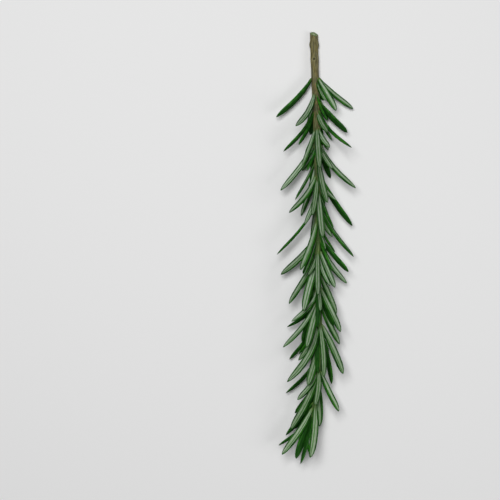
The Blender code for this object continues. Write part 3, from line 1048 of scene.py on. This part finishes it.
@dataclass
class Stem:
    """The stem: the brown cut end, and the green part up to the tip."""

    line: StemLine
    finish: StemFinish
    cut_finish: CutFinish
    surface: Surface = field(default_factory=Surface)
    wood_sides: int = 48
    green_sides: int = 24
    wood_step: float = 0.35
    green_step: float = 1.6
    ridge: float = 0.07
    fissure: float = 0.014
    fissures_fade: float = 15.0
    fissure_waves: tuple[Span, ...] = ((7, 0.5), (11, -0.35))
    scar_along: float = 1.0
    scar_across: float = 0.9
    scar_rise: float = 0.42
    scar_dent: float = 0.3
    scar_slope: float = 1.3
    scar_bowl: float = 0.42
    tip_taper: float = 0.5
    tip_reach: float = 2.0
    cut_station: float = 1.45
    cut_way: tuple[float, float, float] = (0.2, 0.85, 0.5)
    cut_depth: float = 0.2
    cut_rings: tuple[Span, ...] = (
        (0.93, -0.05),
        (0.9, -0.01),
        (0.65, 0.02),
        (0.42, 0.0),
        (0.36, -0.09),
    )

    def build(self) -> None:
        """Models and dresses the woody end and the green stem."""
        bark = self.finish.material()
        ends = self.line.wood_ends - self.line.gap / 2
        wood = self.sweep("woody_end", 0.0, ends, self.wood_step, self.wood_sides)
        in_edit_mode(wood, lambda: self.cut(wood))
        self.press(wood)
        self.mark(wood)
        wood.data.materials.append(bark)
        wood.data.materials.append(self.cut_finish.material())
        self.dress_cut(wood)
        settle(wood, "woody_stem")
        green = self.sweep("green_stem", ends, self.line.length, self.green_step, self.green_sides)
        green.data.materials.append(bark)
        self.mark(green)
        settle(green, "leafy_stem")

    def off_scar(self, station: float, azimuth: float) -> float:
        """How far a point of the skin is from the nearest scar's middle, with 1 at the scar's edge."""
        radius = self.line.radius(station) / MM
        nearest = math.inf
        for scar_station, scar_azimuth in self.line.scars:
            along = (station - scar_station) / self.scar_along
            for azimuth_of_side in (scar_azimuth, scar_azimuth + 180.0):
                turn = math.remainder(azimuth - math.radians(azimuth_of_side), 2 * math.pi)
                nearest = min(nearest, math.hypot(along, turn * radius / self.scar_across))
        return nearest

    def skin(self, station: float, azimuth: float) -> Vector:
        """A point of the stem's skin: four ridges, and on the wood the fissured bark and the scars."""
        place = self.line.place(station)
        ridges = self.ridge * (math.cos(4 * azimuth) - 1)
        worn = 1 - min(station / self.fissures_fade, 1.0)
        fissures = sum(math.cos(count * azimuth + lean * station) for count, lean in self.fissure_waves)
        ridges += self.fissure * worn * (fissures - 1)
        off = self.off_scar(station, azimuth)
        scar = self.scar_rise * math.exp(-self.scar_slope * off**2)
        scar -= self.scar_dent * math.exp(-((off / self.scar_bowl) ** 2))
        past = max(station - self.line.length + self.tip_reach, 0.0)
        taper = 1 - self.tip_taper * past / self.tip_reach
        radius = self.line.radius(station) * (1 + ridges) * taper + scar * MM
        return place.middle + place.outward(azimuth) * radius

    def sweep(self, name: str, first: float, last: float, step: float, sides: int) -> bpy.types.Object:
        """Extrudes a ring along the stem's line.

        Args:
            name: The piece's name.
            first: The station where it starts.
            last: The station where it ends.
            step: The distance between rings.
            sides: The number of points in a ring.

        Returns:
            The closed piece.
        """
        deselect_all()
        bpy.ops.mesh.primitive_circle_add(vertices=sides, radius=1.0, fill_type="NGON")
        piece = bpy.context.object
        piece.name = name
        piece.data.name = name
        for corner, vertex in enumerate(piece.data.vertices):
            vertex.co = self.skin(first, 2 * math.pi * corner / sides)
        rings = round((last - first) / step)
        stations = [first + (last - first) * index / rings for index in range(rings + 1)]
        in_edit_mode(piece, lambda: self.extrude_rings(piece, stations))
        return piece

    def extrude_rings(self, piece: bpy.types.Object, stations: list[float]) -> None:
        """Extrudes the selected ring from station to station.

        Args:
            piece: The piece, in edit mode.
            stations: The stations of its rings.
        """
        bpy.ops.mesh.select_all(action="SELECT")
        for before, after in zip(stations, stations[1:]):
            place = self.line.place(before)
            extrude_and_move(piece, lambda point: self.skin(after, place.azimuth(point)))
        turn_faces_out()

    def cut(self, wood: bpy.types.Object) -> None:
        """Cuts the end on the slant and shapes the cut ring by ring: bark rim, wood, and a sunken pith.

        Args:
            wood: The woody end, in edit mode.
        """
        way = Vector(self.cut_way).normalized()
        bpy.ops.mesh.select_all(action="SELECT")
        bpy.ops.mesh.bisect(
            plane_co=self.line.middle(self.cut_station), plane_no=way, use_fill=True, clear_outer=True
        )
        rim = selected_vertices(wood)
        centre = sum((vertex.co for vertex in rim), Vector()) / len(rim)
        for (size_before, rise_before), (size, rise) in zip(((1.0, 0.0), *self.cut_rings), self.cut_rings):
            step = way * (rise - rise_before) * MM
            share = size / size_before
            extrude_and_move(wood, lambda point: centre + (point - centre) * share + step)
        extrude_and_move(wood, lambda point: centre)
        bpy.ops.mesh.merge(type="CENTER")

    def press(self, piece: bpy.types.Object) -> None:
        """Presses a piece's skin on the surface."""
        for vertex in piece.data.vertices:
            vertex.co = self.surface.press(vertex.co)

    def mark(self, piece: bpy.types.Object) -> None:
        """Writes how far along the stem, off its scars and out of its middle each vertex is."""
        marks = []
        for vertex in piece.data.vertices:
            station = self.line.cut_end_y - vertex.co.y / MM
            place = self.line.place(station)
            out = vertex.co - place.middle
            across = out - out.dot(place.ahead) * place.ahead
            off_scar = self.off_scar(station, place.azimuth(vertex.co))
            marks.append((station, off_scar, across.length / self.line.radius(station)))
        write_vectors(piece, "stem", marks)

    def dress_cut(self, wood: bpy.types.Object) -> None:
        """Gives the faces of the cut the second of the piece's materials."""
        point = self.line.middle(self.cut_station)
        way = Vector(self.cut_way).normalized()
        corners = [(vertex.co - point).dot(way) for vertex in wood.data.vertices]
        for polygon in wood.data.polygons:
            if all(corners[vertex] > -self.cut_depth * MM for vertex in polygon.vertices):
                polygon.material_index = 1


class Lamp(NamedTuple):
    """A square soft light: its place and size in metres, and its power."""

    name: str
    place: tuple[float, float, float]
    size: float
    power: float


@dataclass
class Studio:
    """The pale table, the soft lights, and the camera straight above."""

    photo_pixels: float = 500.0
    pixel: float = 0.4
    cut_end_row: float = 28.0
    axis_column: float = 318.0
    focus_height: float = 9.0
    lens: float = 120.0
    sensor: float = 36.0
    floor_tone: float = 0.82
    sky_strength: float = 0.08
    lamps: tuple[Lamp, ...] = (
        Lamp("overhead", (-0.12, 0.2, 0.8), 0.35, 5.5),
        Lamp("side", (0.5, -0.2, 0.5), 0.3, 1.0),
    )

    def build(self, line: StemLine) -> None:
        """Makes the floor, lights and camera.

        Args:
            line: The stem's line, which the photograph's frame is measured from.
        """
        self.floor()
        self.lights()
        self.camera(line)

    def floor(self) -> None:
        """Lays the pale table."""
        deselect_all()
        bpy.ops.mesh.primitive_plane_add(size=3.0)
        floor = bpy.context.object
        floor.name = "floor"
        sheet = NodeSheet("pale_table")
        sheet.feed(sheet.shader.inputs["Base Color"], (self.floor_tone,) * 3)
        sheet.feed(sheet.shader.inputs["Roughness"], 0.9)
        floor.data.materials.append(sheet.material)

    def lights(self) -> None:
        """Hangs a large soft light above, a smaller one to the side, and an even sky."""
        for lamp in self.lamps:
            light = bpy.data.lights.new(lamp.name, "AREA")
            light.size = lamp.size
            light.energy = lamp.power
            lit = bpy.data.objects.new(lamp.name, light)
            lit.location = lamp.place
            lit.rotation_euler = (-Vector(lamp.place)).to_track_quat("-Z", "Y").to_euler()
            bpy.context.scene.collection.objects.link(lit)
        world = bpy.data.worlds.new("sky")
        world.use_nodes = True
        sky = world.node_tree.nodes["Background"]
        sky.inputs["Color"].default_value = (1.0, 1.0, 1.0, 1.0)
        sky.inputs["Strength"].default_value = self.sky_strength
        bpy.context.scene.world = world

    def camera(self, line: StemLine) -> None:
        """Hangs the camera above the point that the photograph's middle shows.

        Args:
            line: The stem's line.
        """
        middle = self.photo_pixels / 2
        x = line.axis_x + (middle - self.axis_column) * self.pixel
        y = line.cut_end_y - (middle - self.cut_end_row) * self.pixel
        distance = self.photo_pixels * self.pixel * self.lens / self.sensor
        data = bpy.data.cameras.new("camera")
        data.lens = self.lens
        data.sensor_width = self.sensor
        camera = bpy.data.objects.new("camera", data)
        camera.location = Vector((x, y, distance + self.focus_height)) * MM
        bpy.context.scene.collection.objects.link(camera)
        bpy.context.scene.camera = camera
        bpy.context.scene.view_settings.view_transform = "Standard"


def main() -> None:
    """Builds the stem, the foliage and the studio in order."""
    logging.basicConfig(level=logging.INFO, format="%(name)s: %(message)s")
    line = StemLine()
    Studio().build(line)
    Stem(line, StemFinish(), CutFinish()).build()
    Foliage(line, LeafFinish()).build()


if __name__ == "__main__":
    main()
    bpy.context.view_layer.update()
